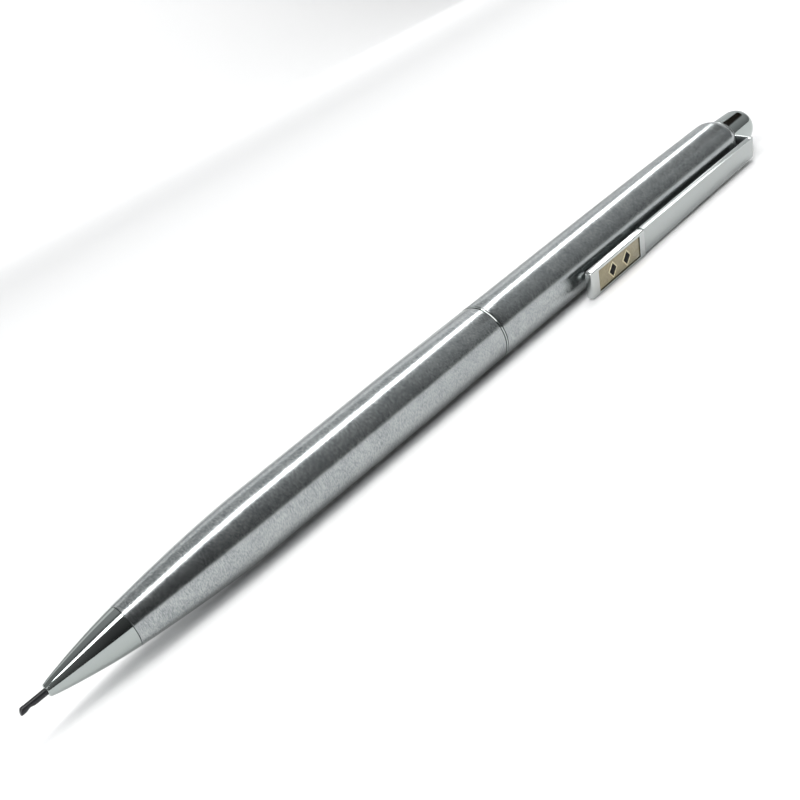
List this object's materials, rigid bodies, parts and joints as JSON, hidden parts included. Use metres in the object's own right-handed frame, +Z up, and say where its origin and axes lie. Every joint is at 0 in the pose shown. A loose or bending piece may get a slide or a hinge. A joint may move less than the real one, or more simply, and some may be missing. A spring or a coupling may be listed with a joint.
{
  "type": "mechanical pencil",
  "caption": "Slim push-button mechanical pencil with a brushed steel barrel, chromed tip and button, and a spring clip that carries a small inlaid plaque.",
  "frame": {"origin": "centre of the bounding box in plan, on the table that the pencil lies on", "axes": "+X from the lead to the push button, +Z up, clip towards -Y and a little below level"},
  "size_m": [0.13, 0.0102, 0.0077],
  "materials": {
    "graphite": "matt, burnished",
    "chrome": "polished chrome plate",
    "brushed_steel": "stainless steel, fine brushed",
    "satin_steel": "stainless sheet, satin",
    "brass": "turned brass",
    "spring_steel": "drawn wire",
    "rubber": "matt",
    "tube_plastic": "moulded",
    "eraser": "white vinyl",
    "khaki_enamel": "enamel, satin",
    "black_enamel": "enamel, gloss"
  },
  "bodies": {
    "barrel": {"lower_barrel": "brushed_steel", "upper_barrel": "brushed_steel", "centre_ring": "chrome", "coupling_sleeve": "brass", "chuck_sleeve": "brass", "tube_guide": "brass", "return_spring": "spring_steel", "clip_ring": "satin_steel"},
    "pusher": {"chuck": "brass", "tube_connector": "brass", "lead_tube": "tube_plastic", "spare_lead_1": "graphite", "spare_lead_2": "graphite", "spare_lead_3": "graphite"},
    "clutch": {"clutch_ring": "brass"},
    "writing_lead": {"lead": "graphite"},
    "eraser_unit": {"eraser_ferrule": "brass", "eraser": "eraser", "clean_out_pin": "spring_steel"},
    "button": {"push_button": "chrome"},
    "retainer": {"lead_retainer": "rubber"},
    "tip": {"tip_cone": "chrome"},
    "clip": {"clip_arm": "satin_steel", "clip_nub": "satin_steel", "plaque_frame": "satin_steel", "plaque_inlay": "khaki_enamel", "plaque_mark_1": "black_enamel", "plaque_mark_2": "black_enamel"}
  },
  "joints": [
    {"name": "button_press", "type": "slide", "parent": "barrel", "child": "pusher", "axis": [-1, 0, 0], "range_m": [0, 0.003], "stiffness_N_per_m": 400, "springref_m": -0.004, "deforming": ["return_spring"]},
    {"name": "clutch_shift", "type": "slide", "parent": "barrel", "child": "clutch", "axis": [-1, 0, 0], "range_m": [0, 0.001]},
    {"name": "lead_feed", "type": "slide", "parent": "barrel", "child": "writing_lead", "axis": [-1, 0, 0], "range_m": [-0.00285, 0.008]},
    {"name": "eraser_pull", "type": "slide", "parent": "pusher", "child": "eraser_unit", "axis": [1, 0, 0], "range_m": [0, 0.018]},
    {"name": "button_pull", "type": "slide", "parent": "eraser_unit", "child": "button", "axis": [1, 0, 0], "range_m": [0, 0.0096]},
    {"name": "tip_draw", "type": "slide", "parent": "barrel", "child": "retainer", "axis": [-1, 0, 0], "range_m": [0, 0.004]},
    {"name": "tip_turn", "type": "hinge", "parent": "retainer", "child": "tip", "pos_m": [-0.0534, 0.00124, 0.00386], "axis": [-1, 0, 0], "range_deg": [0, 2880]},
    {"name": "clip_flex", "type": "hinge", "parent": "barrel", "child": "clip", "pos_m": [0.05725, -0.00365, 0.00209], "axis": [0, -0.3413, 0.9399], "range_deg": [0, 4], "stiffness_Nm_per_rad": 2}
  ],
  "couplings": [
    {"joint": "clutch_shift", "follows": "button_press", "ratio": 0.3333},
    {"joint": "tip_turn", "follows": "tip_draw", "rad_per_m": 12566}
  ]
}
